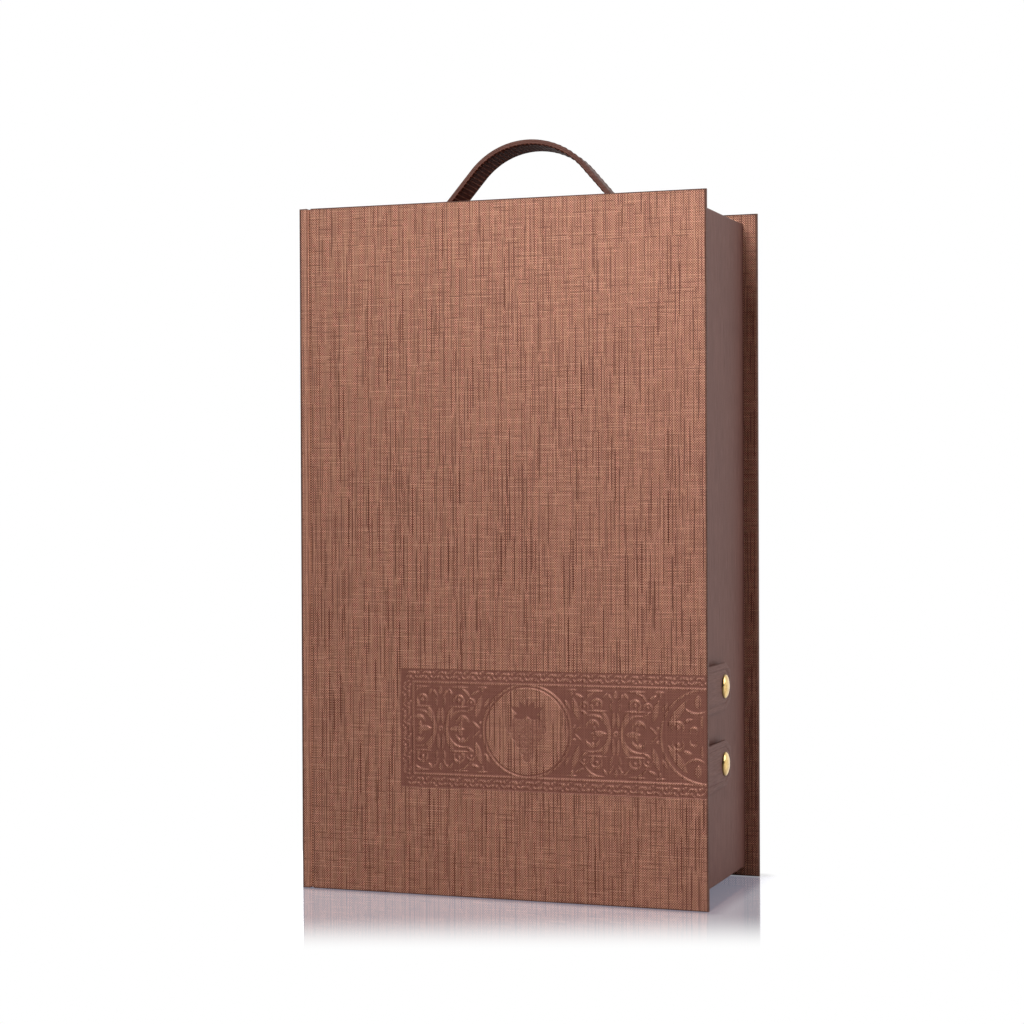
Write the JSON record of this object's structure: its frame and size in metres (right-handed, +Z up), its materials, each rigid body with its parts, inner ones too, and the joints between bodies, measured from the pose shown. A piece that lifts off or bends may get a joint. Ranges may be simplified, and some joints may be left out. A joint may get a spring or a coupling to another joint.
{
  "type": "wine gift box",
  "caption": "Book-style wine gift box with linen covers, a swinging front, snap tabs, a strap handle and a foam insert shaped for bottles.",
  "frame": {"origin": "middle of the footprint, on the surface that the box stands on", "axes": "+Z up, -Y towards the front cover's face, -X towards the spine"},
  "size_m": [0.216, 0.1084, 0.3857],
  "materials": {
    "bronze_linen": "metallic bronze book linen with slubs",
    "greyboard": "plain grey",
    "liner_paper": "matt dark brown",
    "leatherette": "matt grey-brown, fine upright grain",
    "strap_lining": "dark brown, woven grain",
    "flocked_lining": "dark brown flock",
    "flocked_foam": "dark brown flock",
    "snap_brass": "polished",
    "rivet_steel": "plain"
  },
  "bodies": {
    "case": {"rear_cover_board": "greyboard", "rear_cover_wrap": "bronze_linen", "rear_cover_liner": "liner_paper", "spine_board": "greyboard", "spine_wrap": "bronze_linen", "gutter_hinge": "bronze_linen", "tray_back": "greyboard", "tray_top_wall": "greyboard", "tray_bottom_wall": "greyboard", "tray_left_wall": "greyboard", "tray_right_wall": "greyboard", "tray_wrap": "leatherette", "wall_lining": "flocked_lining", "bottle_insert": "flocked_foam", "handle_strap": "leatherette", "handle_lining": "strap_lining", "handle_rivets": "rivet_steel", "handle_washers": "rivet_steel", "upper_snap_stud": "snap_brass", "upper_stud_post": "rivet_steel", "lower_snap_stud": "snap_brass", "lower_stud_post": "rivet_steel"},
    "front_cover": {"front_cover_board": "greyboard", "front_cover_wrap": "bronze_linen", "front_cover_liner": "liner_paper", "upper_tab_root": "leatherette", "lower_tab_root": "leatherette"},
    "upper_tab": {"upper_tab_strap": "leatherette", "upper_tab_lining": "strap_lining", "upper_snap_cap": "snap_brass", "upper_snap_socket": "snap_brass"},
    "lower_tab": {"lower_tab_strap": "leatherette", "lower_tab_lining": "strap_lining", "lower_snap_cap": "snap_brass", "lower_snap_socket": "snap_brass"}
  },
  "joints": [
    {"name": "front_cover_hinge", "type": "hinge", "parent": "case", "child": "front_cover", "pos_m": [-0.103, -0.0544, 0.175], "axis": [0, 0, -1], "range_deg": [0, 180], "deforming": ["gutter_hinge"]},
    {"name": "upper_tab_hinge", "type": "hinge", "parent": "front_cover", "child": "upper_tab", "pos_m": [0.1044, -0.0505, 0.1054], "axis": [0, 0, -1], "range_deg": [0, 90]},
    {"name": "lower_tab_hinge", "type": "hinge", "parent": "front_cover", "child": "lower_tab", "pos_m": [0.1044, -0.0505, 0.0663], "axis": [0, 0, -1], "range_deg": [0, 90]}
  ]
}
